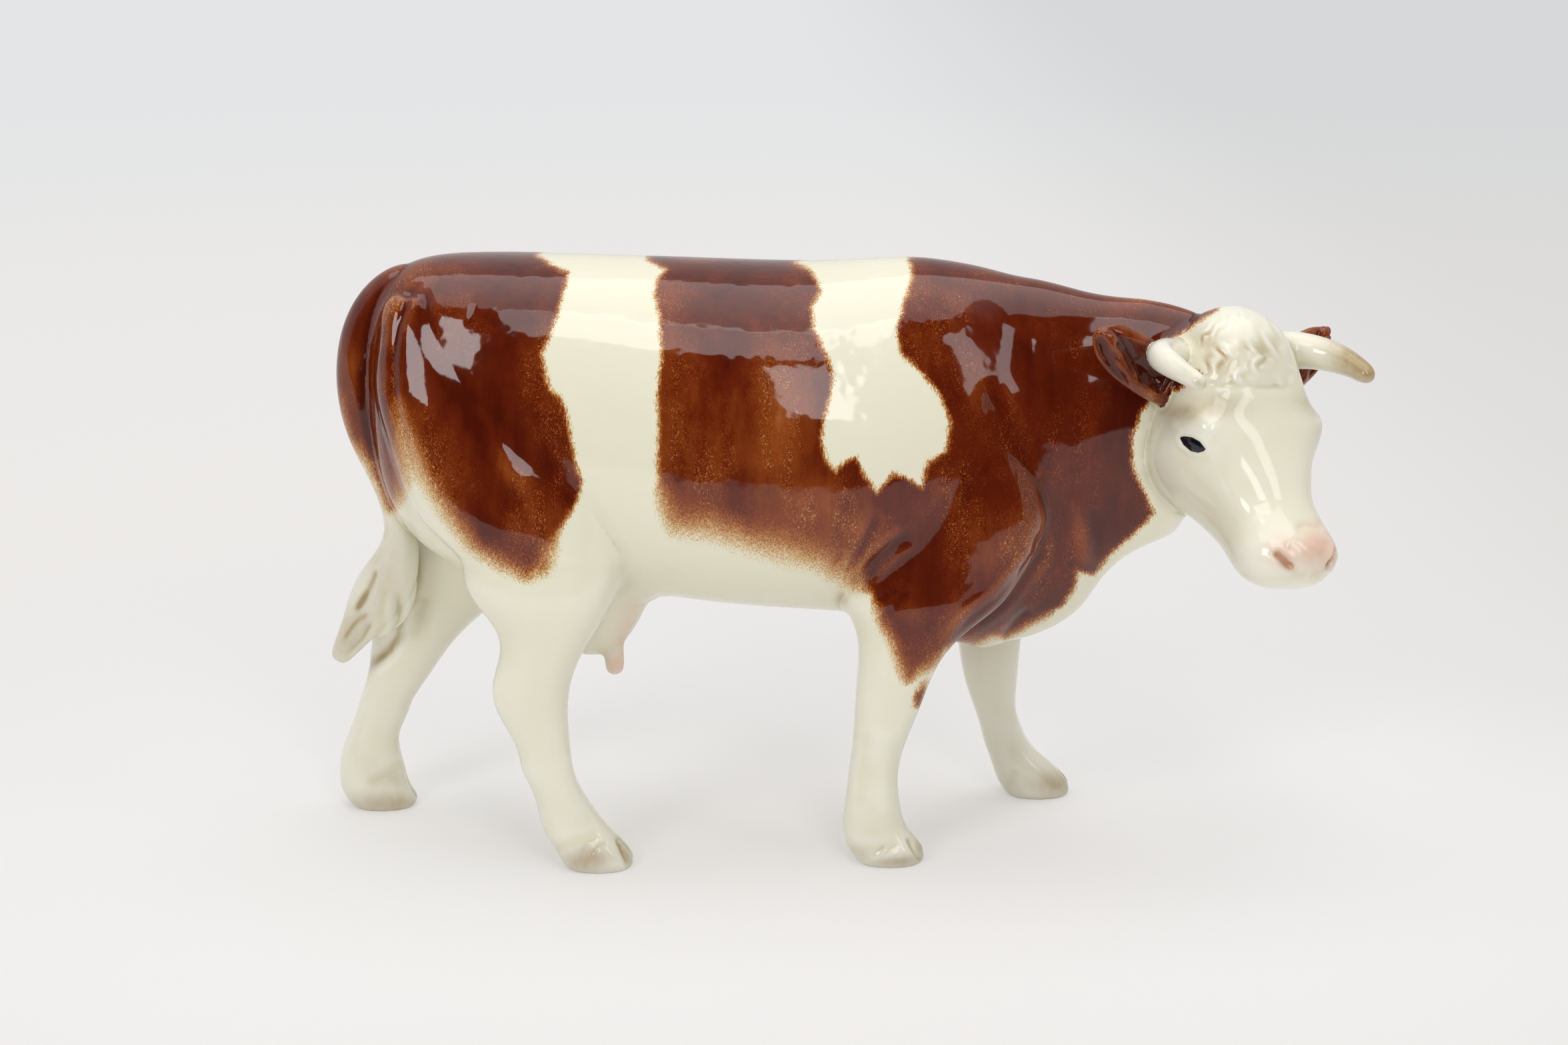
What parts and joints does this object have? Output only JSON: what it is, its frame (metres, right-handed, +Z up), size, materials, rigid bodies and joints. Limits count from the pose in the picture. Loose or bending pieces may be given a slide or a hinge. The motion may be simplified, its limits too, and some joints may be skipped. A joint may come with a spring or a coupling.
{
  "type": "cow figurine",
  "caption": "Free-standing glazed porcelain figurine of a walking horned dairy cow, its head turned to its right.",
  "frame": {"origin": "on the plane of the four soles, under the middle of the figurine's box", "axes": "+X from tail to head, +Y to the cow's left, +Z up"},
  "size_m": [0.2258, 0.0787, 0.1314],
  "materials": {
    "coat_glaze": "clear gloss glaze over hand painting",
    "horn_glaze": "clear gloss glaze over hand painting",
    "ear_glaze": "clear gloss glaze over hand painting",
    "leg_glaze": "clear gloss glaze over hand painting",
    "tail_glaze": "clear gloss glaze over hand painting",
    "udder_glaze": "clear gloss glaze over hand painting"
  },
  "bodies": {
    "root": {"torso": "coat_glaze", "head": "coat_glaze", "horn_right": "horn_glaze", "horn_left": "horn_glaze", "ear_right": "ear_glaze", "ear_left": "ear_glaze", "leg_front_right": "leg_glaze", "leg_front_left": "leg_glaze", "leg_hind_right": "leg_glaze", "leg_hind_left": "leg_glaze", "tail": "tail_glaze", "udder": "udder_glaze"}
  },
  "joints": []
}
